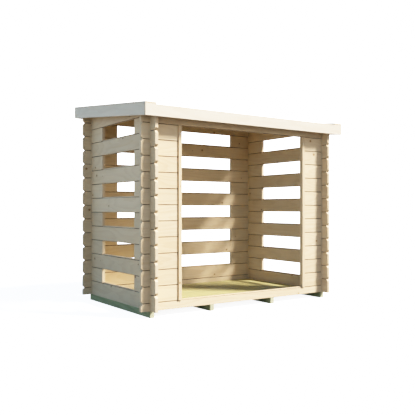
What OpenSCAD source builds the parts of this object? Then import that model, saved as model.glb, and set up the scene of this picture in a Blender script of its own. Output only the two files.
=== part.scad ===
// Open-fronted log store with interlocking corner logs, slotted walls and a pent roof.
// The origin is on the ground below the centre of the roof. +X runs along the width, the front
// faces -Y and +Z is up.

/* [Logs] */
// Height that each log adds to a wall
log_pitch = 114; // [100:1:137]
// Thickness of the logs
log_t = 24; // [20:1:34]
// How far the logs run past the wall that they cross
stub = 72; // [55:1:90]
// Bevel on the top and bottom corners of a log's end
end_bevel = 17; // [8:1:22]
// Height of the bevel along a log's long edges, which is half of the V between two logs
edge_bevel = 2.5; // [1:0.5:4]
// Depth of that bevel into the log's thickness
edge_bevel_depth = 5; // [1:0.5:5]
// Width of the tongue along the top of a log
tongue_w = 7; // [5:1:7]
// Height of the tongue along the top of a log
tongue_h = 8; // [4:1:12]
// Clearance around a tongue and beside a crossing log
fit_gap = 0.5; // [0.2:0.1:1]

/* [Walls] */
// Width over the outer faces of the side walls
outer_w = 1696; // [1300:1:2400]
// Depth over the outer faces of the front and back walls
outer_d = 1024; // [780:1:1400]
// Number of slots above one another in each wall
slot_rows = 6; // [4:1:7]
// Length of the short logs at the ends of a slot
short_log = 310; // [200:1:372]
// Length of the logs in the piers beside the front opening
pier_log = 300; // [200:1:420]

/* [Front opening] */
// Width of the batten that closes the end of each pier
jamb_w = 26; // [18:1:45]
// How far the battens stand in front of the piers
jamb_proud = 10; // [4:1:20]

/* [Base] */
// Width of the bearers
bearer_w = 34; // [28:1:70]
// Height of the bearers
bearer_h = 48; // [32:1:95]
// From the left wall's outer face to the near side of the second bearer
bearer_2_at = 510; // [400:1:620]
// From the left wall's outer face to the near side of the third bearer
bearer_3_at = 1100; // [900:1:1200]
// Thickness of the floor boards
floor_t = 16; // [12:1:28]
// Number of floor boards
floor_count = 9; // [6:1:12]
// Gap between two floor boards
floor_gap = 4; // [2:1:12]
// Gap between the floor boards and the walls
floor_edge_gap = 3; // [1:1:10]

/* [Roof] */
// Slope of the roof, which falls to the front
roof_slope = 6.1; // [4:0.1:9]
// Height of the gable boards at the front wall
gable_front_h = 50; // [42:1:80]
// Thickness of the roof boards
roof_board_t = 16; // [12:1:24]
// Number of roof boards side by side
roof_board_count = 17; // [13:1:23]
// Bevel along the edges of the roof boards
roof_board_bevel = 2; // [1:0.5:3]
// Thickness of the tongue between two roof boards
roof_tongue_t = 5; // [4:0.5:6]
// Width of the tongue between two roof boards
roof_tongue_w = 6; // [4:1:8]
// How far the roof boards reach past the log ends at the front
front_reach = 26; // [10:1:80]
// How far the roof boards reach past the log ends at the back
rear_reach = 6; // [2:1:80]
// How far the roof boards reach past the log ends at each side
side_reach = 12; // [4:1:80]
// Height of the fascia boards
fascia_h = 80; // [60:1:110]
// Thickness of the fascia boards
fascia_t = 16; // [12:1:24]
// Width of the wind boards that lie along the sides of the roof
wind_board_w = 84; // [60:1:120]
// Thickness of the wind boards
wind_board_t = 13; // [9:1:20]

/* [Hidden] */

// Untreated spruce, the paler timber of the roof edges, and the treated timber of the base
log_color = "#e6cfa4";
trim_color = "#ecdab4";
deck_color = "#dfc79b";
treated_color = "#b3b382";

// A half and a quarter of a log, by which crossing walls are offset and notched
half_log = log_pitch / 2;
quarter_log = log_pitch / 4;
notch_top = log_pitch - quarter_log;

// Groove that takes a tongue, and the tongue's place across the log
tongue_at = (log_t - tongue_w) / 2;
groove_at = tongue_at - fit_gap;
groove_h = tongue_h + fit_gap;

// Rows of a side wall, and the heights of the wall foot and of the gables' lower edge
side_rows = 2 * slot_rows;
foot_z = bearer_h;
gable_z = foot_z + side_rows * log_pitch;
header_z = gable_z - half_log;

// Lengths over the log ends
front_log = outer_w + 2 * stub;
side_log = outer_d + 2 * stub;

// Edges of the roof boards, measured from the walls' outer faces, and the roof's whole size
deck_front = stub + front_reach;
deck_rear = stub + rear_reach;
deck_side = stub + side_reach;
deck_w = outer_w + 2 * deck_side;
roof_w = deck_w + 2 * fascia_t;
roof_d = outer_d + deck_front + deck_rear + 2 * fascia_t;

// Places of the walls' outer faces in the object's frame
left_x = -outer_w / 2;
right_x = outer_w / 2;
front_y = deck_front + fascia_t - roof_d / 2;
back_y = front_y + outer_d;

// Vertical thickness of a sloping board, and how much the roof rises over a log's thickness
deck_rise = roof_board_t / cos(roof_slope);
wind_rise = wind_board_t / cos(roof_slope);
log_rise = log_t * tan(roof_slope);
cut_room = 2 * roof_board_t;

// Height of the roof's underside above the gables' lower edge, at a distance behind the front
function under_roof(from_front) = gable_front_h + from_front * tan(roof_slope);

// Height of the roof boards' upper face in the object's frame, at a place along Y
function deck_top(y) = gable_z + under_roof(y - front_y) + deck_rise;

// Cross-section of a log: across, up. An untongued top may slope up towards the far face.
function log_section(h, grooved, tongued, rise = 0) = concat(
    grooved
        ? [[edge_bevel_depth, 0], [groove_at, 0], [groove_at, groove_h],
           [log_t - groove_at, groove_h], [log_t - groove_at, 0],
           [log_t - edge_bevel_depth, 0], [log_t, edge_bevel]]
        : [[0, 0], [log_t, 0]],
    tongued
        ? [[log_t, h - edge_bevel], [log_t - edge_bevel_depth, h], [log_t - tongue_at, h],
           [log_t - tongue_at, h + tongue_h], [tongue_at, h + tongue_h], [tongue_at, h],
           [edge_bevel_depth, h], [0, h - edge_bevel]]
        : [[log_t, h + rise], [0, h]],
    grooved ? [[0, edge_bevel]] : []
);

// Low notch and high notch over a crossing log whose near face is at a place along the length
function low_notch(at, level) = [
    [at - fit_gap, 0], [at - fit_gap, level],
    [at + log_t + fit_gap, level], [at + log_t + fit_gap, 0]
];
function high_notch(at, level, top) = [
    [at + log_t + fit_gap, top], [at + log_t + fit_gap, level],
    [at - fit_gap, level], [at - fit_gap, top]
];

// A log lies along +X with its near end at 0, its near face at 0 and its foot at 0.
module shaped_log(length, outline, section) {
    intersection() {
        translate([0, log_t, 0])
            rotate([90, 0, 0])
                linear_extrude(log_t)
                    polygon(outline);
        rotate([90, 0, 90])
            linear_extrude(length)
                polygon(section);
    }
}

// Long log notched over both crossing walls. levels are the notches' floor and ceiling, and a
// level of 0 leaves that notch out.
module long_log(length, h, low_level, high_level, grooved, tongued, rise = 0) {
    top = h + (tongued ? tongue_h : rise);
    low_end = grooved ? end_bevel : 0;
    high_end = tongued ? end_bevel : 0;
    high_run = tongued ? end_bevel + tongue_h : 0;
    far = length - stub - log_t;
    outline = concat(
        [[low_end, 0]],
        low_level > 0 ? concat(low_notch(stub, low_level), low_notch(far, low_level)) : [],
        [[length - low_end, 0]],
        grooved ? [[length, low_end]] : [],
        [[length, h + rise - high_end]],
        tongued ? [[length - high_run, top]] : [],
        high_level > 0
            ? concat(high_notch(far, high_level, top), high_notch(stub, high_level, top))
            : [],
        tongued ? [[high_run, top]] : [],
        [[0, h + rise - high_end]],
        grooved ? [[0, low_end]] : []
    );
    shaped_log(length, outline, log_section(h, grooved, tongued, rise));
}

// Short log with a bevelled outer end at 0 and a square inner end.
module short_end_log(length) {
    top = log_pitch + tongue_h;
    outline = concat(
        [[0, end_bevel], [end_bevel, 0]],
        low_notch(stub, quarter_log),
        [[length, 0], [length, top]],
        high_notch(stub, notch_top, top),
        [[end_bevel + tongue_h, top], [0, log_pitch - end_bevel]]
    );
    shaped_log(length, outline, log_section(log_pitch, true, true));
}

// Board that closes a side wall below the roof. It tapers with the roof.
module gable_log() {
    front_in = stub + log_t;
    far = side_log - stub - log_t;
    outline = concat(
        [[0, end_bevel], [end_bevel, 0]],
        low_notch(stub, quarter_log),
        low_notch(far, quarter_log),
        [[side_log - end_bevel, 0], [side_log, end_bevel]],
        [[side_log, under_roof(outer_d + stub)]],
        [[far + log_t + fit_gap, under_roof(outer_d + fit_gap)]],
        [[far + log_t + fit_gap, notch_top], [far - fit_gap, notch_top]],
        [[far - fit_gap, under_roof(outer_d - log_t - fit_gap)]],
        [[0, under_roof(-stub)]]
    );
    shaped_log(side_log, outline, log_section(under_roof(outer_d + stub), true, false));
}

// Places children, which lie along +X, along a side wall whose outer or inner face is at x.
module along_side(x, z) {
    translate([x + log_t, front_y - stub, z])
        rotate([0, 0, 90])
            children();
}

// Full log of a side wall in a row counted from 1. The lowest has a flat foot.
module side_long_logs(x) {
    for (row = [1 : 2 : side_rows - 1])
        along_side(x, foot_z + (row - 1) * log_pitch)
            long_log(side_log, log_pitch, quarter_log, notch_top, row > 1, true);
}

module side_front_short_logs(x) {
    for (row = [2 : 2 : side_rows])
        along_side(x, foot_z + (row - 1) * log_pitch)
            short_end_log(short_log);
}

module side_rear_short_logs(x) {
    for (row = [2 : 2 : side_rows])
        along_side(x, foot_z + (row - 1) * log_pitch)
            translate([side_log, log_t, 0])
                rotate([0, 0, 180])
                    short_end_log(short_log);
}

module left_wall_long_logs() {
    color(log_color) side_long_logs(left_x);
}

module left_wall_front_short_logs() {
    color(log_color) side_front_short_logs(left_x);
}

module left_wall_rear_short_logs() {
    color(log_color) side_rear_short_logs(left_x);
}

module left_gable_board() {
    color(log_color) along_side(left_x, gable_z) gable_log();
}

module right_wall_long_logs() {
    color(log_color) side_long_logs(right_x - log_t);
}

module right_wall_front_short_logs() {
    color(log_color) side_front_short_logs(right_x - log_t);
}

module right_wall_rear_short_logs() {
    color(log_color) side_rear_short_logs(right_x - log_t);
}

module right_gable_board() {
    color(log_color) along_side(right_x - log_t, gable_z) gable_log();
}

// Half-height log at the foot of the front and back walls
module sill_log(y) {
    translate([left_x - stub, y, foot_z])
        long_log(front_log, half_log, 0, quarter_log, false, true);
}

module back_sill() {
    color(log_color) sill_log(back_y - log_t);
}

module back_wall_long_logs() {
    color(log_color)
        for (row = [1 : 2 : side_rows - 1])
            translate([left_x - stub, back_y - log_t, foot_z + row * log_pitch - half_log])
                long_log(front_log, log_pitch, quarter_log, notch_top, true, true);
}

module back_wall_left_short_logs() {
    color(log_color)
        for (row = [2 : 2 : side_rows])
            translate([left_x - stub, back_y - log_t, foot_z + row * log_pitch - half_log])
                short_end_log(short_log);
}

module back_wall_right_short_logs() {
    color(log_color)
        for (row = [2 : 2 : side_rows])
            translate([right_x + stub, back_y, foot_z + row * log_pitch - half_log])
                rotate([0, 0, 180])
                    short_end_log(short_log);
}

module back_top_board() {
    color(log_color)
        translate([left_x - stub, back_y - log_t, gable_z + half_log])
            long_log(front_log, under_roof(outer_d - log_t) - half_log, quarter_log, 0,
                     true, false, log_rise);
}

module front_sill() {
    color(log_color) sill_log(front_y);
}

module front_header() {
    color(log_color)
        translate([left_x - stub, front_y, header_z])
            long_log(front_log, half_log + gable_front_h, quarter_log, notch_top,
                     true, false, log_rise);
}

// Logs of a pier beside the opening, every second one from a first row
module left_pier_logs(first) {
    for (row = [first : 2 : side_rows - 1])
        translate([left_x - stub, front_y, foot_z + row * log_pitch - half_log])
            short_end_log(pier_log);
}

module right_pier_logs(first) {
    for (row = [first : 2 : side_rows - 1])
        translate([right_x + stub, front_y + log_t, foot_z + row * log_pitch - half_log])
            rotate([0, 0, 180])
                short_end_log(pier_log);
}

module left_pier_odd_logs() {
    color(log_color) left_pier_logs(1);
}

module left_pier_even_logs() {
    color(log_color) left_pier_logs(2);
}

module right_pier_odd_logs() {
    color(log_color) right_pier_logs(1);
}

module right_pier_even_logs() {
    color(log_color) right_pier_logs(2);
}

// Upright batten between sill and header, slotted over the sill's tongue
module jamb_batten(x) {
    translate([x, front_y - jamb_proud, foot_z + half_log])
        difference() {
            cube([jamb_w, log_t + jamb_proud, header_z - foot_z - half_log]);
            translate([-jamb_w, jamb_proud + groove_at, -groove_h])
                cube([3 * jamb_w, log_t - 2 * groove_at, 2 * groove_h]);
        }
}

module left_jamb_batten() {
    color(trim_color) jamb_batten(left_x - stub + pier_log);
}

module right_jamb_batten() {
    color(trim_color) jamb_batten(right_x + stub - pier_log - jamb_w);
}

// Bearer from front to back, with its near side at a distance from the left wall's outer face
module bearer(at) {
    translate([left_x + at, front_y, 0])
        cube([bearer_w, outer_d, bearer_h]);
}

module bearer_left() {
    color(treated_color) bearer(0);
}

module bearer_middle_left() {
    color(treated_color) bearer(bearer_2_at);
}

module bearer_middle_right() {
    color(treated_color) bearer(bearer_3_at);
}

module bearer_right() {
    color(treated_color) bearer(outer_w - bearer_w);
}

// Boards across the bearers, from side wall to side wall
module floor_boards() {
    room_w = outer_w - 2 * log_t - 2 * floor_edge_gap;
    room_d = outer_d - 2 * log_t - 2 * floor_edge_gap;
    board_w = (room_d - (floor_count - 1) * floor_gap) / floor_count;
    color(treated_color)
        translate([-room_w / 2, front_y + log_t + floor_edge_gap, foot_z])
            for (i = [0 : floor_count - 1])
                translate([0, i * (board_w + floor_gap), 0])
                    cube([room_w, board_w, floor_t]);
}

// Cross-section of a roof board: along X, up
function roof_board_section(w, grooved, tongued) = let(
    b = roof_board_bevel,
    t = roof_board_t,
    low = (t - roof_tongue_t) / 2,
    high = (t + roof_tongue_t) / 2,
    deep = roof_tongue_w + fit_gap
) concat(
    [[b, 0], [w - b, 0], [w, b]],
    tongued ? [[w, low], [w + roof_tongue_w, low], [w + roof_tongue_w, high], [w, high]] : [],
    [[w, t - b], [w - b, t], [b, t], [0, t - b]],
    grooved
        ? [[0, high + fit_gap], [deep, high + fit_gap], [deep, low - fit_gap], [0, low - fit_gap]]
        : [],
    [[0, b]]
);

// Sloping roof boards with plumb ends, every second one from a first board
module roof_boards(first) {
    board_w = deck_w / roof_board_count;
    reach = roof_d;
    intersection() {
        translate([-deck_w / 2, front_y, gable_z + gable_front_h])
            rotate([roof_slope, 0, 0])
                for (i = [first : 2 : roof_board_count - 1])
                    translate([i * board_w, reach, 0])
                        rotate([90, 0, 0])
                            linear_extrude(2 * reach)
                                polygon(roof_board_section(board_w, i > 0,
                                                           i < roof_board_count - 1));
        translate([-deck_w / 2, front_y - deck_front, gable_z - cut_room])
            cube([deck_w, outer_d + deck_front + deck_rear, roof_d]);
    }
}

module roof_boards_odd() {
    color(deck_color) roof_boards(0);
}

module roof_boards_even() {
    color(deck_color) roof_boards(1);
}

// Fascia along the low or the high edge of the roof, with its near face at a place along Y
module cross_fascia(y) {
    foot = min(deck_top(y), deck_top(y + fascia_t)) - fascia_h;
    translate([-roof_w / 2, 0, 0])
        rotate([90, 0, 90])
            linear_extrude(roof_w)
                polygon([[y, foot], [y + fascia_t, foot],
                         [y + fascia_t, deck_top(y + fascia_t)], [y, deck_top(y)]]);
}

module front_fascia() {
    color(trim_color) cross_fascia(-roof_d / 2);
}

module back_fascia() {
    color(trim_color) cross_fascia(roof_d / 2 - fascia_t);
}

// Sloping board with plumb ends between two places along Y, from a lower to an upper offset
// from the roof boards' upper face
module sloping_board(x, w, y_from, y_to, lower, upper) {
    translate([x, 0, 0])
        rotate([90, 0, 90])
            linear_extrude(w)
                polygon([[y_from, deck_top(y_from) + lower], [y_to, deck_top(y_to) + lower],
                         [y_to, deck_top(y_to) + upper], [y_from, deck_top(y_from) + upper]]);
}

module side_fascia(x) {
    sloping_board(x, fascia_t, -roof_d / 2 + fascia_t, roof_d / 2 - fascia_t, -fascia_h, 0);
}

module left_fascia() {
    color(trim_color) side_fascia(-roof_w / 2);
}

module right_fascia() {
    color(trim_color) side_fascia(roof_w / 2 - fascia_t);
}

module wind_board(x) {
    sloping_board(x, wind_board_w, -roof_d / 2, roof_d / 2, 0, wind_rise);
}

module left_wind_board() {
    color(trim_color) wind_board(-roof_w / 2);
}

module right_wind_board() {
    color(trim_color) wind_board(roof_w / 2 - wind_board_w);
}

bearer_left();
bearer_middle_left();
bearer_middle_right();
bearer_right();
floor_boards();
left_wall_long_logs();
left_wall_front_short_logs();
left_wall_rear_short_logs();
left_gable_board();
right_wall_long_logs();
right_wall_front_short_logs();
right_wall_rear_short_logs();
right_gable_board();
back_sill();
back_wall_long_logs();
back_wall_left_short_logs();
back_wall_right_short_logs();
back_top_board();
front_sill();
front_header();
left_pier_odd_logs();
left_pier_even_logs();
right_pier_odd_logs();
right_pier_even_logs();
left_jamb_batten();
right_jamb_batten();
roof_boards_odd();
roof_boards_even();
front_fascia();
back_fascia();
left_fascia();
right_fascia();
left_wind_board();
right_wind_board();
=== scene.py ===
import bpy
import bmesh
import math
from mathutils import Matrix, Vector


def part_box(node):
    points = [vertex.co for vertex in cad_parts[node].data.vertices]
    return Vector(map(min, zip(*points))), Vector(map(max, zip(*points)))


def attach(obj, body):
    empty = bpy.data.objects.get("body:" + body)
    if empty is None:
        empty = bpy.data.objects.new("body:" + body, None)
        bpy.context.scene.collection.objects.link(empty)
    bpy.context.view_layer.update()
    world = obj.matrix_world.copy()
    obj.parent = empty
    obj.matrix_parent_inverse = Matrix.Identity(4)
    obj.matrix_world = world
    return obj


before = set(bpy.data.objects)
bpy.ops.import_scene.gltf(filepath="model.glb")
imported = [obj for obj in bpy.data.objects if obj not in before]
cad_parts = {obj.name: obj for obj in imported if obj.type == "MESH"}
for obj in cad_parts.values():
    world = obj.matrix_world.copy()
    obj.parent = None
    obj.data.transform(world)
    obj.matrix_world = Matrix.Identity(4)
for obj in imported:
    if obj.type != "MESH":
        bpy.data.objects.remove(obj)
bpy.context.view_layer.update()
print("log store: frame loaded")

scene = bpy.context.scene

# the film: strong light rolls off towards white, each colour by itself. white is the brightest input
# and curve has pairs of light and how bright it shows.
film = {"white": 2.6, "curve": ((0.02, 0.013), (0.08, 0.068), (0.2, 0.192), (0.4, 0.395),
                                (0.7, 0.635), (1.02, 0.795), (1.35, 0.90), (1.8, 0.975), (2.2, 1.0))}


def loadFilm(settings):
    look = scene.view_settings
    look.view_transform = "Standard"
    look.use_curve_mapping = True
    mapping = look.curve_mapping
    mapping.white_level = (settings["white"],) * 3
    mapping.extend = "HORIZONTAL"
    allColours = mapping.curves[3]
    for light, shown in settings["curve"]:
        allColours.points.new(light / settings["white"], shown)
    mapping.update()


loadFilm(film)


class Wire:
    # one output of a node, with arithmetic on it
    def __init__(self, shader, socket):
        self.shader = shader
        self.socket = socket

    def math(self, operation, *values):
        return self.shader.node("ShaderNodeMath", {"operation": operation}, *values)

    def __add__(self, other):
        return self.math("ADD", self, other)

    def __radd__(self, other):
        return self.math("ADD", other, self)

    def __sub__(self, other):
        return self.math("SUBTRACT", self, other)

    def __rsub__(self, other):
        return self.math("SUBTRACT", other, self)

    def __mul__(self, other):
        return self.math("MULTIPLY", self, other)

    def __rmul__(self, other):
        return self.math("MULTIPLY", other, self)

    def __truediv__(self, other):
        return self.math("DIVIDE", self, other)

    def __gt__(self, other):
        return self.math("GREATER_THAN", self, other)

    def floor(self):
        return self.math("FLOOR", self)

    def fraction(self):
        return self.math("FRACT", self)

    def root(self):
        return self.math("SQRT", self)

    def size(self):
        return self.math("ABSOLUTE", self)


class Shader:
    # the nodes of one finish or of the sky
    def __init__(self, owner):
        self.owner = owner
        owner.use_nodes = True
        self.tree = owner.node_tree
        self.tree.nodes.clear()

    def node(self, kind, settings=None, *values, out=0, **named):
        made = self.tree.nodes.new(kind)
        for key, value in (settings or {}).items():
            setattr(made, key, value)
        inputs = list(enumerate(values))
        inputs += [(key.replace("_", " "), value) for key, value in named.items()]
        for key, value in inputs:
            if isinstance(value, Wire):
                self.tree.links.new(value.socket, made.inputs[key])
            elif value is not None:
                made.inputs[key].default_value = value
        return Wire(self, made.outputs[out]) if made.outputs else None

    def step(self, value, low, high):  # smooth rise from 0 at low to 1 at high
        settings = {"interpolation_type": "SMOOTHSTEP"}
        return self.node("ShaderNodeMapRange", settings, value, low, high, 0.0, 1.0)

    def along(self, point, direction):  # how far a point lies along a direction
        settings = {"operation": "DOT_PRODUCT"}
        return self.node("ShaderNodeVectorMath", settings, point, tuple(direction), out="Value")

    def vector(self, x, y, z):
        return self.node("ShaderNodeCombineXYZ", None, x, y, z)

    def noise(self, vector, detail=2.0, roughness=0.5):
        return self.node("ShaderNodeTexNoise", {"noise_dimensions": "3D"}, out="Fac",
                         Vector=vector, Scale=1.0, Detail=detail, Roughness=roughness)

    def scaled(self, point, scale):
        return self.node("ShaderNodeVectorMath", {"operation": "SCALE"}, point, Scale=scale)

    def chance(self, number):  # three random values that belong to a number
        colour = self.node("ShaderNodeTexWhiteNoise", {"noise_dimensions": "1D"}, out="Color", W=number)
        return [self.node("ShaderNodeSeparateColor", None, colour, out=i) for i in range(3)]

    def blend(self, factor, first, second, kind="MIX"):
        settings = {"data_type": "RGBA", "blend_type": kind}
        otherKinds = (None,) * 5  # sockets of a Mix node that colours leave unused
        return self.node("ShaderNodeMix", settings, factor, *otherKinds, first, second, out=2)

    def finish(self, colour, roughness, height, depth, specular=0.3, metallic=0.0):
        bump = self.node("ShaderNodeBump", None, Strength=1.0, Distance=depth, Height=height)
        surface = self.node("ShaderNodeBsdfPrincipled", None, Base_Color=colour, Roughness=roughness,
                            Metallic=metallic, Specular_IOR_Level=specular, Normal=bump)
        self.node("ShaderNodeOutputMaterial", None, surface)
        return self.owner


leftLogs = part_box("left_wall_long_logs")
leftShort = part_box("left_wall_front_short_logs")
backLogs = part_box("back_wall_long_logs")
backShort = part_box("back_wall_left_short_logs")
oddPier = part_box("left_pier_odd_logs")
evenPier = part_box("left_pier_even_logs")
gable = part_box("left_gable_board")
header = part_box("front_header")
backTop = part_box("back_top_board")
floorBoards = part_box("floor_boards")
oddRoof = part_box("roof_boards_odd")
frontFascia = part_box("front_fascia")
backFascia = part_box("back_fascia")
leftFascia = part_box("left_fascia")
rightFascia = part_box("right_fascia")

xDir = Vector((1, 0, 0))
yDir = Vector((0, 1, 0))
zDir = Vector((0, 0, 1))
pitch = evenPier[0].z - oddPier[0].z  # height that one log adds to a wall
roofRise = (backFascia[1].z - frontFascia[1].z) / (backFascia[1].y - frontFascia[1].y)
slopeDir = Vector((0, 1, roofRise)).normalized()
roofUp = Vector((0, -roofRise, 1)).normalized()


def roofTop(y):  # height of the roof boards' upper face
    return frontFascia[1].z + (y - frontFascia[1].y) * roofRise


print("log store: a log adds %.0f mm, the roof rises %.3f" % (pitch * 1000, roofRise))


# spruce, planed and left bare: colours, the painted shade that darkens the bevels beside a joint,
# the spacing of the rings, knots and how far boards differ in tone
spruceLook = {
    "pale": (0.60, 0.47, 0.30, 1), "warm": (0.555, 0.39, 0.212, 1), "late": (0.416, 0.262, 0.126, 1),
    "knot": (0.149, 0.081, 0.037, 1), "knotHeart": (0.33, 0.193, 0.089, 1), "end": (0.604, 0.477, 0.318, 1),
    # painted shade in the V-joints: its dark colour and how much of the bevel it covers
    "paintedJointShade": (0.15, 0.085, 0.04, 1), "paintedJointShadeShare": 0.88,
    "ring": 0.0028, "lateShare": 0.17, "streakShare": 0.30, "heartwood": 0.26, "tone": 0.045,
    "knotShare": 0.26, "knotSize": 0.0058, "roughness": 0.56, "saw": 0.0, "bump": 0.0004,
}
trimLook = dict(spruceLook, pale=(0.61, 0.525, 0.395, 1), warm=(0.58, 0.467, 0.32, 1), lateShare=0.10,
                heartwood=0.12, knotShare=0.20, knotSize=0.0045)
roofLook = dict(spruceLook, pale=(0.60, 0.465, 0.29, 1), knotShare=0.36)

# pine that has been pressure treated: green and sawn for the bearers, yellower and planed for the floor
bearerLook = dict(spruceLook, pale=(0.338, 0.35, 0.185, 1), warm=(0.29, 0.289, 0.133, 1),
                  late=(0.188, 0.177, 0.074, 1), knot=(0.102, 0.069, 0.03, 1),
                  knotHeart=(0.22, 0.16, 0.07, 1), end=(0.518, 0.481, 0.318, 1), lateShare=0.30,
                  roughness=0.7, saw=0.5, bump=0.0008)
floorLook = dict(spruceLook, pale=(0.505, 0.435, 0.182, 1), warm=(0.435, 0.355, 0.13, 1),
                 late=(0.314, 0.246, 0.096, 1), knot=(0.157, 0.092, 0.037, 1),
                 knotHeart=(0.33, 0.22, 0.09, 1), end=(0.487, 0.431, 0.237, 1), lateShare=0.30,
                 roughness=0.62, bump=0.0006)

# one cell of a board's face that may hold a knot, and how a knot is drawn. A knot's rim, its bark and
# the grain that bends round it are given as shares of its radius. fineness, mixX and mixY turn a
# knot's place into its own number, and barkDark is how much the bark's darkness varies and its least.
knotGrid = {
    "long": 0.30, "high": 0.085, "stretch": 1.2, "boardShift": 5.0, "smallest": 0.0026,
    "ragged": 0.0022, "raggedScale": 160.0, "rim": (0.85, 1.12), "barkIn": (0.62, 0.95),
    "barkOut": (1.0, 1.28), "barkDark": (0.7, 0.3), "bend": (0.5, 4.2), "ring": 0.0012,
    "ringEdge": (0.3, 0.9), "fineness": 64.0, "mixX": 0.37, "mixY": 0.113,
}

# where the pith lies beside a board, how far it wanders along it, and how uneven the rings are.
# The three slices pick unlike parts of the noise.
pithPlace = {
    "near": 0.020, "far": 0.055, "side": 0.11, "driftDeep": 0.03, "driftHigh": 0.075,
    "slowDeep": 1.1, "slowHigh": 0.9, "wobble": 0.004, "wobbleAlong": 3.0, "wobbleAcross": 30.0,
    "roundKnot": 0.006, "uneven": 2.2, "unevenScale": 45.0, "lateRise": (0.25, 0.92),
    "lateFall": (0.93, 1.0), "heart": (0.036, 0.052), "deepSlice": 3.0, "highSlice": 11.0,
    "ringSlice": 5.0,
}

# noise over a board as scale along it, scale across it, detail and roughness, then the share that
# each part of the grain has in colour, roughness and relief. boardShift, boardStep and boardOffset
# set the boards apart.
grain = {
    "boardShift": 9.0, "boardStep": 1.7, "boardOffset": 0.37, "streak": (1.4, 34.0, 3.0, 0.6),
    "fibre": (14.0, 900.0, 2.0, 0.7), "patch": (2.6, 9.0, 2.0, 0.5), "streakEdge": (0.42, 0.72),
    "warmth": 0.3, "endEdge": (0.55, 0.8), "endShare": 0.75, "endRings": 0.34, "bendShare": 0.22,
    "knotRings": 0.35, "bark": 0.8, "bevelIn": (0.2, 0.35), "bevelOut": (0.7, 0.85),
    "patchTone": 0.09, "fibreTone": 0.08, "fibreRough": 0.16, "endRough": 0.12, "knotRough": 0.1,
    "fibreHigh": 0.45, "lateDeep": 0.35, "barkDeep": 0.5, "knotHigh": 0.25, "sawPitch": 0.0042,
    "sawWander": 1.5,
}


def knots(s, look, own, across, shift):
    # returns the knot, its dark bark, the bent grain around it and its own rings
    cellX = own / knotGrid["long"]
    cellY = across / knotGrid["high"] + shift * knotGrid["boardShift"]
    cells = {"voronoi_dimensions": "2D", "feature": "F1"}
    spot = s.node("ShaderNodeTexVoronoi", cells, out="Position",
                  Vector=s.vector(cellX, cellY, 0.0), Scale=1.0, Randomness=1.0)
    spotX = s.node("ShaderNodeSeparateXYZ", None, spot, out=0)
    spotY = s.node("ShaderNodeSeparateXYZ", None, spot, out=1)
    numberX = (spotX * knotGrid["fineness"]).floor() * knotGrid["mixX"]
    numberY = (spotY * knotGrid["fineness"]).floor() * knotGrid["mixY"]
    grow, present, dark = s.chance(numberX + numberY)
    away = (spotX - cellX) * (knotGrid["long"] / knotGrid["stretch"])
    up = (spotY - cellY) * knotGrid["high"]
    rough = s.vector(own * knotGrid["raggedScale"], across * knotGrid["raggedScale"], spotX)
    ragged = (s.noise(rough, 2.0) - 0.5) * knotGrid["ragged"]
    gap = (away * away + up * up).root() + ragged
    ratio = gap / (grow * look["knotSize"] + knotGrid["smallest"])
    there = present > 1 - look["knotShare"]
    knot = (1 - s.step(ratio, *knotGrid["rim"])) * there
    bark = s.step(ratio, *knotGrid["barkIn"]) * (1 - s.step(ratio, *knotGrid["barkOut"]))
    varies, least = knotGrid["barkDark"]
    bark = bark * there * (dark * varies + least)
    bend = (1 - s.step(ratio, *knotGrid["bend"])) * there
    inner = s.step((gap / knotGrid["ring"]).fraction(), *knotGrid["ringEdge"]) * knot
    return knot, bark, bend, inner


def growthRings(s, look, own, thickness, across, number, bend):
    # the board is cut beside a pith that wanders along it, which gives straight and arched grain
    side, near, high = s.chance(number)
    driftDeep = s.noise(s.vector(own * pithPlace["slowDeep"], number, pithPlace["deepSlice"]), 1.0) - 0.5
    driftHigh = s.noise(s.vector(own * pithPlace["slowHigh"], number, pithPlace["highSlice"]), 1.0) - 0.5
    pithSide = (side > 0.5) * 2.0 - 1.0
    deep = thickness - pithSide * (near * pithPlace["far"] + pithPlace["near"])
    deep = deep + driftDeep * pithPlace["driftDeep"]
    off = across - (high - 0.5) * pithPlace["side"] + driftHigh * pithPlace["driftHigh"]
    place = s.vector(own * pithPlace["wobbleAlong"], thickness * pithPlace["wobbleAcross"],
                     across * pithPlace["wobbleAcross"])
    wobble = (s.noise(place, 2.0) - 0.5) * pithPlace["wobble"]
    reach = (deep * deep + off * off).root() + wobble + bend * pithPlace["roundKnot"]
    outwards = s.vector(reach * pithPlace["unevenScale"], number, pithPlace["ringSlice"])
    ring = (reach / look["ring"] + s.noise(outwards, 1.0) * pithPlace["uneven"]).fraction()
    late = s.step(ring, *pithPlace["lateRise"]) * (1 - s.step(ring, *pithPlace["lateFall"]))
    heartwood = 1 - s.step(reach, *pithPlace["heart"])
    return late, heartwood


def boardNoise(s, kind, own, thickness, width, shift=0.0):
    along, across, detail, roughness = grain[kind]
    return s.noise(s.vector(own * along, thickness * across, width * across + shift), detail, roughness)


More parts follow.
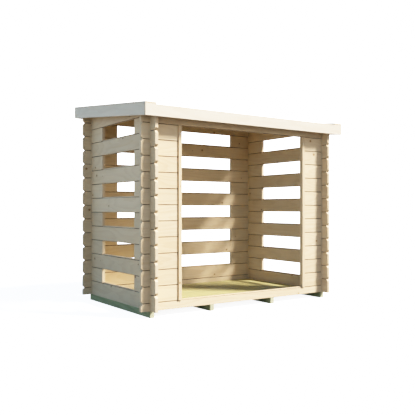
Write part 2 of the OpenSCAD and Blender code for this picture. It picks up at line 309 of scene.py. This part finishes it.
def timber(name, look, along, deep, high, seed, row=None, middle=0.0, isLog=False):
    # along, deep and high run with a board's length, thickness and width. row says how the boards of
    # a node follow one another: the direction, where it starts and the step. middle is for one board.
    s = Shader(bpy.data.materials.new(name))
    point = s.node("ShaderNodeTexCoord", None, out="Object")
    thickness = s.along(point, deep)
    width = s.along(point, high)
    number, centre = seed, middle
    if row:
        stack, start, step = row
        index = ((s.along(point, stack) - start) / step).floor()
        number = index * grain["boardStep"] + seed
        centre = (index + 0.5) * step + start
    shift, tone, warmth = s.chance(number + grain["boardOffset"])
    own = s.along(point, along) + shift * grain["boardShift"]  # each board has its own stretch of grain
    across = width - centre
    knot, bark, bend, inner = knots(s, look, own, across, shift)
    late, heartwood = growthRings(s, look, own, thickness, across, number, bend)

    streak = boardNoise(s, "streak", own, thickness, width, number)
    fibre = boardNoise(s, "fibre", own, thickness, width)
    patch = boardNoise(s, "patch", own, thickness, width, number)
    normal = s.node("ShaderNodeNewGeometry", None, out="Normal")
    endGrain = s.step(s.along(normal, along).size(), *grain["endEdge"])
    face = 1 - endGrain

    streaky = s.step(streak, *grain["streakEdge"]) * look["streakShare"]
    colour = s.blend(streaky, look["pale"], look["warm"])
    colour = s.blend(warmth * grain["warmth"] + heartwood * look["heartwood"], colour, look["warm"])
    colour = s.blend(late * look["lateShare"], colour, look["late"])
    colour = s.blend(endGrain * grain["endShare"], colour, look["end"])
    colour = s.blend(endGrain * late * grain["endRings"], colour, look["late"])
    colour = s.blend(bend * face * grain["bendShare"], colour, look["late"])
    colour = s.blend(knot * face, colour, look["knotHeart"])
    colour = s.blend((inner * grain["knotRings"] + bark * grain["bark"]) * face, colour, look["knot"])
    if isLog:  # painted shade: the bevels beside a joint are darkened as if the V-groove lay in shade
        slant = s.along(normal, deep).size()
        bevel = s.step(slant, *grain["bevelIn"]) * (1 - s.step(slant, *grain["bevelOut"])) * face
        colour = s.blend(bevel * look["paintedJointShadeShare"], colour, look["paintedJointShade"])
    level = (tone - 0.5) * (2 * look["tone"]) + (patch - 0.5) * grain["patchTone"]
    level = level + (fibre - 0.5) * grain["fibreTone"] + 1.0
    colour = s.blend(1.0, colour, s.vector(level, level, level), "MULTIPLY")

    roughness = fibre * grain["fibreRough"] + endGrain * grain["endRough"] - knot * grain["knotRough"]
    roughness = roughness + (look["roughness"] - grain["fibreRough"] / 2)
    height = fibre * grain["fibreHigh"] - late * grain["lateDeep"]
    height = height - bark * grain["barkDeep"] + knot * grain["knotHigh"]
    if look["saw"]:  # ridges that the saw leaves across the board
        ridge = (own / grain["sawPitch"] + patch * grain["sawWander"]).fraction()
        height = height + s.step(ridge, 0.0, 0.5) * (1 - s.step(ridge, 0.5, 1.0)) * look["saw"]
    return s.finish(colour, roughness, height, look["bump"])


def dress(node, material):
    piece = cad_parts[node]
    piece.data.materials.clear()
    piece.data.materials.append(material)


def dressWall(node, look, along, deep, box, seed):
    # the node holds every second log of a wall, so its logs follow each other two pitches apart
    row = (zDir, box[0].z - pitch / 2, pitch * 2)
    dress(node, timber(node, look, along, deep, zDir, seed, row, isLog=True))


def dressBoard(node, look, along, deep, high, middle, seed, isLog=False):
    dress(node, timber(node, look, along, deep, high, seed, middle=middle, isLog=isLog))


def middleHeight(node):
    low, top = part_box(node)
    return (low.z + top.z) / 2


for seed, side in ((1.0, "left"), (201.0, "right")):
    dressWall(side + "_wall_long_logs", spruceLook, yDir, xDir, leftLogs, seed)
    dressWall(side + "_wall_front_short_logs", spruceLook, yDir, xDir, leftShort, seed + 40)
    dressWall(side + "_wall_rear_short_logs", spruceLook, yDir, xDir, leftShort, seed + 80)
    dressBoard(side + "_gable_board", spruceLook, yDir, xDir, zDir, gable[0].z + pitch / 2,
               seed + 120, isLog=True)
print("log store: side walls finished")

dressWall("back_wall_long_logs", spruceLook, xDir, yDir, backLogs, 401.0)
dressWall("back_wall_left_short_logs", spruceLook, xDir, yDir, backShort, 441.0)
dressWall("back_wall_right_short_logs", spruceLook, xDir, yDir, backShort, 481.0)
for seed, node in ((521.0, "back_sill"), (541.0, "back_top_board"), (561.0, "front_sill"),
                   (581.0, "front_header")):
    dressBoard(node, spruceLook, xDir, yDir, zDir, middleHeight(node), seed, isLog=True)
for seed, side in ((601.0, "left"), (701.0, "right")):
    dressWall(side + "_pier_odd_logs", spruceLook, xDir, yDir, oddPier, seed)
    dressWall(side + "_pier_even_logs", spruceLook, xDir, yDir, evenPier, seed + 40)
    low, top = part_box(side + "_jamb_batten")
    dressBoard(side + "_jamb_batten", spruceLook, zDir, yDir, xDir, (low.x + top.x) / 2, seed + 80)
print("log store: front and back walls finished")

roofDeck = {"boards": 17, "nailIn": 0.026}

roofStep = (oddRoof[1].x - oddRoof[0].x) / roofDeck["boards"]
for node, start, seed in (("roof_boards_odd", oddRoof[0].x - roofStep / 2, 801.0),
                          ("roof_boards_even", oddRoof[0].x + roofStep / 2, 851.0)):
    row = (xDir, start, roofStep * 2)
    dress(node, timber(node, roofLook, slopeDir, roofUp, xDir, seed, row))
for seed, node in ((901.0, "front_fascia"), (921.0, "back_fascia")):
    dressBoard(node, trimLook, xDir, yDir, zDir, middleHeight(node), seed)
for seed, side in ((941.0, "left"), (961.0, "right")):
    edge = Vector((0, 0, roofTop(0))).dot(roofUp) - (frontFascia[1].z - frontFascia[0].z) / 2
    dressBoard(side + "_fascia", trimLook, slopeDir, xDir, roofUp, edge, seed)
    low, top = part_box(side + "_wind_board")
    dressBoard(side + "_wind_board", trimLook, slopeDir, roofUp, xDir, (low.x + top.x) / 2, seed + 10)
print("log store: roof finished")

# nailIn is how far a nail sits from a board's edge, and endIn how far from its end
floorDeck = {"boards": 9, "gap": 0.004, "nailIn": 0.022, "endIn": 0.012}

floorStep = (floorBoards[1].y - floorBoards[0].y + floorDeck["gap"]) / floorDeck["boards"]
row = (yDir, floorBoards[0].y - floorDeck["gap"] / 2, floorStep)
dress("floor_boards", timber("floor_boards", floorLook, xDir, zDir, yDir, 1001.0, row))
bearers = ["bearer_left", "bearer_middle_left", "bearer_middle_right", "bearer_right"]
for seed, node in enumerate(bearers):
    dressBoard(node, bearerLook, yDir, xDir, zDir, middleHeight(node), 1101.0 + 20 * seed)
print("log store: base finished")

# every edge of a board is broken by a small arris. Welding the piece and dissolving its flat faces first
# leaves flat faces without seams.
arris = {"width": 0.0011, "segments": 2, "sharp": math.radians(30), "weld": 0.00001,
         "flat": math.radians(0.5)}


def breakEdges(piece, settings):
    weld = piece.modifiers.new("weld", "WELD")
    weld.merge_threshold = settings["weld"]
    flat = piece.modifiers.new("flat", "DECIMATE")
    flat.decimate_type = "DISSOLVE"
    flat.angle_limit = settings["flat"]
    bevel = piece.modifiers.new("arris", "BEVEL")
    bevel.width = settings["width"]
    bevel.segments = settings["segments"]
    bevel.limit_method = "ANGLE"
    bevel.angle_limit = settings["sharp"]
    bevel.use_clamp_overlap = True


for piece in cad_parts.values():
    breakEdges(piece, arris)
print("log store: edges broken")

# heads of the fixings. proud is how far the crown stands above the timber, recess is how deep the
# drive is, and star draws in every second corner of the drive.
nailHead = {"radius": 0.0029, "deep": 0.0016, "proud": 0.0004, "round": 0.0003, "sides": 12, "recess": 0}
screwHead = {"radius": 0.0042, "deep": 0.0030, "proud": 0.0003, "round": 0.0003, "sides": 12,
             "recess": 0.0016, "star": 0.72, "drive": 0.0021}
zincLook = {"bright": (0.70, 0.68, 0.63, 1), "dull": (0.50, 0.48, 0.44, 1), "roughness": 0.22,
            "bump": 0.00008, "cloud": 420.0, "fine": 2600.0, "dullFrom": (0.35, 0.7),
            "cloudRough": 0.25, "fineRough": 0.1}


def zincSteel(name, look):
    s = Shader(bpy.data.materials.new(name))
    point = s.node("ShaderNodeTexCoord", None, out="Object")
    cloud = s.noise(s.scaled(point, look["cloud"]), 3.0)
    fine = s.noise(s.scaled(point, look["fine"]), 2.0)
    colour = s.blend(s.step(cloud, *look["dullFrom"]), look["bright"], look["dull"])
    roughness = cloud * look["cloudRough"] + fine * look["fineRough"] + look["roughness"]
    return s.finish(colour, roughness, fine, look["bump"], specular=0.5, metallic=1.0)


def crownOf(body):
    return max(body.faces, key=lambda face: face.calc_center_median().z)


def makeHead(settings):
    # one head at the origin that looks up, as a mesh that is copied to every place
    body = bmesh.new()
    bmesh.ops.create_cone(body, cap_ends=True, cap_tris=False, segments=settings["sides"],
                          radius1=settings["radius"], radius2=settings["radius"],
                          depth=settings["deep"])
    lift = settings["proud"] - settings["deep"] / 2
    bmesh.ops.translate(body, vec=(0, 0, lift), verts=body.verts)
    bmesh.ops.bevel(body, geom=list(crownOf(body).edges), offset=settings["round"], affect="EDGES",
                    segments=1, profile=0.5, material=-1)
    if settings["recess"]:
        drive = crownOf(body)
        rim = settings["radius"] - settings["round"] - settings["drive"]
        bmesh.ops.inset_region(body, faces=[drive], thickness=rim)
        for i, corner in enumerate(drive.verts):
            if i % 2:  # every second corner moves in, which makes the drive a star
                corner.co.x *= settings["star"]
                corner.co.y *= settings["star"]
        sunk = bmesh.ops.extrude_discrete_faces(body, faces=[drive])["faces"][0]
        bmesh.ops.translate(body, vec=(0, 0, -settings["recess"]), verts=sunk.verts)
    bmesh.ops.recalc_face_normals(body, faces=body.faces)
    head = bpy.data.meshes.new("head")
    body.to_mesh(head)
    body.free()
    return head


def fixings(name, settings, spots, material):
    # spots are places on a board's face, each with the direction in which the face looks
    head = makeHead(settings)
    body = bmesh.new()
    turnBetween = 1.9  # no two heads stop at the same turn
    for number, (place, outward) in enumerate(spots):
        first = len(body.verts)
        body.from_mesh(head)
        body.verts.ensure_lookup_table()
        turn = outward.to_track_quat("Z", "Y").to_matrix().to_4x4()
        spin = Matrix.Rotation(number * turnBetween, 4, "Z")
        seat = Matrix.Translation(place) @ turn @ spin
        bmesh.ops.transform(body, matrix=seat, verts=body.verts[first:])
    mesh = bpy.data.meshes.new(name)
    body.to_mesh(mesh)
    body.free()
    bpy.data.meshes.remove(head)
    piece = bpy.data.objects.new(name, mesh)
    scene.collection.objects.link(piece)
    mesh.materials.append(material)
    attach(piece, "root")


def spread(low, high, inset, count):  # evenly spaced places between two ends
    return [low + inset + (high - low - 2 * inset) * i / (count - 1) for i in range(count)]


fasciaScrews = {"inset": 0.042, "count": 6, "sideCount": 4, "down": 0.040}
windScrews = {"inset": 0.045, "count": 6}
battenScrews = {"inset": 0.060, "count": 5}
steel = zincSteel("zincPlatedSteel", zincLook)

spots = []
for x in spread(frontFascia[0].x, frontFascia[1].x, fasciaScrews["inset"], fasciaScrews["count"]):
    spots.append((Vector((x, frontFascia[0].y, frontFascia[1].z - fasciaScrews["down"])), -yDir))
    spots.append((Vector((x, backFascia[1].y, backFascia[1].z - fasciaScrews["down"])), yDir))
for y in spread(leftFascia[0].y, leftFascia[1].y, fasciaScrews["inset"], fasciaScrews["sideCount"]):
    height = roofTop(y) - fasciaScrews["down"]
    spots.append((Vector((leftFascia[0].x, y, height)), -xDir))
    spots.append((Vector((rightFascia[1].x, y, height)), xDir))
fixings("fascia_screws", screwHead, spots, steel)

spots = []
for side in ("left", "right"):
    low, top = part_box(side + "_wind_board")
    thick = top.z - backFascia[1].z  # plumb thickness, because both end at the back edge
    for y in spread(low.y, top.y, windScrews["inset"], windScrews["count"]):
        spots.append((Vector(((low.x + top.x) / 2, y, roofTop(y) + thick)), roofUp))
fixings("wind_board_screws", screwHead, spots, steel)

spots = []
for side in ("left", "right"):
    low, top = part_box(side + "_jamb_batten")
    for z in spread(low.z, top.z, battenScrews["inset"], battenScrews["count"]):
        spots.append((Vector(((low.x + top.x) / 2, low.y, z)), -yDir))
fixings("jamb_batten_screws", screwHead, spots, steel)

spots = []
for board in range(roofDeck["boards"]):
    for inset in (roofDeck["nailIn"], roofStep - roofDeck["nailIn"]):
        for y in ((header[0].y + header[1].y) / 2, (backTop[0].y + backTop[1].y) / 2):
            x = oddRoof[0].x + board * roofStep + inset
            spots.append((Vector((x, y, roofTop(y))), roofUp))
fixings("roof_board_nails", nailHead, spots, steel)

spots = []
for node in bearers:
    low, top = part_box(node)
    leftmost = floorBoards[0].x + floorDeck["endIn"]
    rightmost = floorBoards[1].x - floorDeck["endIn"]
    x = min(max((low.x + top.x) / 2, leftmost), rightmost)
    for board in range(floorDeck["boards"]):
        for inset in (floorDeck["nailIn"], floorStep - floorDeck["gap"] - floorDeck["nailIn"]):
            y = floorBoards[0].y + board * floorStep + inset
            spots.append((Vector((x, y, floorBoards[1].z)), zDir))
fixings("floor_board_nails", nailHead, spots, steel)
print("log store: nails and screws placed")

# the sun, the sky's haze on the side of the sun and away from it, the zenith and the ground's bounce.
# nearFrom and zenithFrom say between which directions one part of the sky turns into the next.
studio = {
    "sunAzimuth": 44.7, "sunHeight": 40.2, "sun": 10.3, "sunColour": (0.985, 0.975, 1.0),
    "sunWidth": 13.5, "hazeNear": (2.25, 1.95, 1.65, 1), "hazeAway": (0.97, 1.42, 1.90, 1),
    "zenith": (0.20, 0.33, 0.58, 1), "nearFrom": (0.1, 0.95), "zenithFrom": (0.05, 0.6),
    "bounce": (0.27, 0.255, 0.23, 1), "backdrop": 4.0, "floor": (0.90, 0.90, 0.90, 1),
    "floorGlow": 1.6, "size": 60.0, "under": 0.004, "paperScale": 6.0, "paperRough": (0.1, 0.9),
}


def stagePlane(name, size, height, material):
    mesh = bpy.data.meshes.new(name)
    body = bmesh.new()
    bmesh.ops.create_grid(body, x_segments=1, y_segments=1, size=size / 2,
                          matrix=Matrix.Translation((0, 0, height)))
    body.to_mesh(mesh)
    body.free()
    plane = bpy.data.objects.new(name, mesh)
    scene.collection.objects.link(plane)
    mesh.materials.append(material)
    return plane


def stageFinish(name, colour, glow):
    s = Shader(bpy.data.materials.new(name))
    point = s.node("ShaderNodeTexCoord", None, out="Object")
    spread, lowest = studio["paperRough"]
    rough = s.noise(s.scaled(point, studio["paperScale"]), 3.0) * spread + lowest
    paper = s.node("ShaderNodeBsdfDiffuse", None, colour, rough)
    light = s.node("ShaderNodeEmission", None, colour, glow)
    both = s.node("ShaderNodeAddShader", None, paper, light)
    s.node("ShaderNodeOutputMaterial", None, both)
    return s.owner


def makeSky(settings):
    # the camera sees plain white, everything else is lit by the sky's own colours
    s = Shader(bpy.data.worlds.new("studioSky"))
    way = s.node("ShaderNodeTexCoord", None, out="Generated")
    turn = math.radians(settings["sunAzimuth"])
    toSun = (math.sin(turn), -math.cos(turn), 0)
    sunSide = s.step(s.along(way, toSun), *settings["nearFrom"])
    haze = s.blend(sunSide, settings["hazeAway"], settings["hazeNear"])
    above = s.step(s.along(way, zDir), *settings["zenithFrom"])
    light = s.blend(above, haze, settings["zenith"])
    lit = s.node("ShaderNodeBackground", None, light, 1.0)
    white = s.node("ShaderNodeBackground", None, (1, 1, 1, 1), settings["backdrop"])
    seen = s.node("ShaderNodeLightPath", None, out="Is Camera Ray")
    s.node("ShaderNodeOutputWorld", None, s.node("ShaderNodeMixShader", None, seen, lit, white))
    scene.world = s.owner


def makeStudio(settings):
    # the camera sees a pale floor. A darker card just under it gives the light from the ground.
    floor = stagePlane("studioFloor", settings["size"], 0.0,
                       stageFinish("studioFloor", settings["floor"], settings["floorGlow"]))
    floor.visible_diffuse = False
    floor.visible_glossy = False
    floor.visible_shadow = False
    card = stagePlane("bounceCard", settings["size"], -settings["under"],
                      stageFinish("bounceCard", settings["bounce"], 0.0))
    card.visible_camera = False

    lamp = bpy.data.lights.new("keySun", "SUN")
    lamp.energy = settings["sun"]
    lamp.color = settings["sunColour"]
    lamp.angle = math.radians(settings["sunWidth"])
    key = bpy.data.objects.new("keySun", lamp)
    key.rotation_euler = [math.radians(angle) for angle in (90 - settings["sunHeight"], 0,
                                                            settings["sunAzimuth"])]
    scene.collection.objects.link(key)
    makeSky(settings)


makeStudio(studio)

# the camera looks level, so upright edges stay upright, and lift shifts its picture a little
view = {"at": (-2.837, -4.0675, 0.7656), "turn": -34.75, "lens": 50.77, "sensor": 36.0,
        "lift": 0.0014}
lens = bpy.data.cameras.new("mainView")
lens.lens = view["lens"]
lens.sensor_width = view["sensor"]
lens.shift_y = view["lift"]
eye = bpy.data.objects.new("mainView", lens)
eye.location = view["at"]
eye.rotation_euler = (math.radians(90), 0, math.radians(view["turn"]))
scene.collection.objects.link(eye)
scene.camera = eye
print("log store: studio and camera ready")
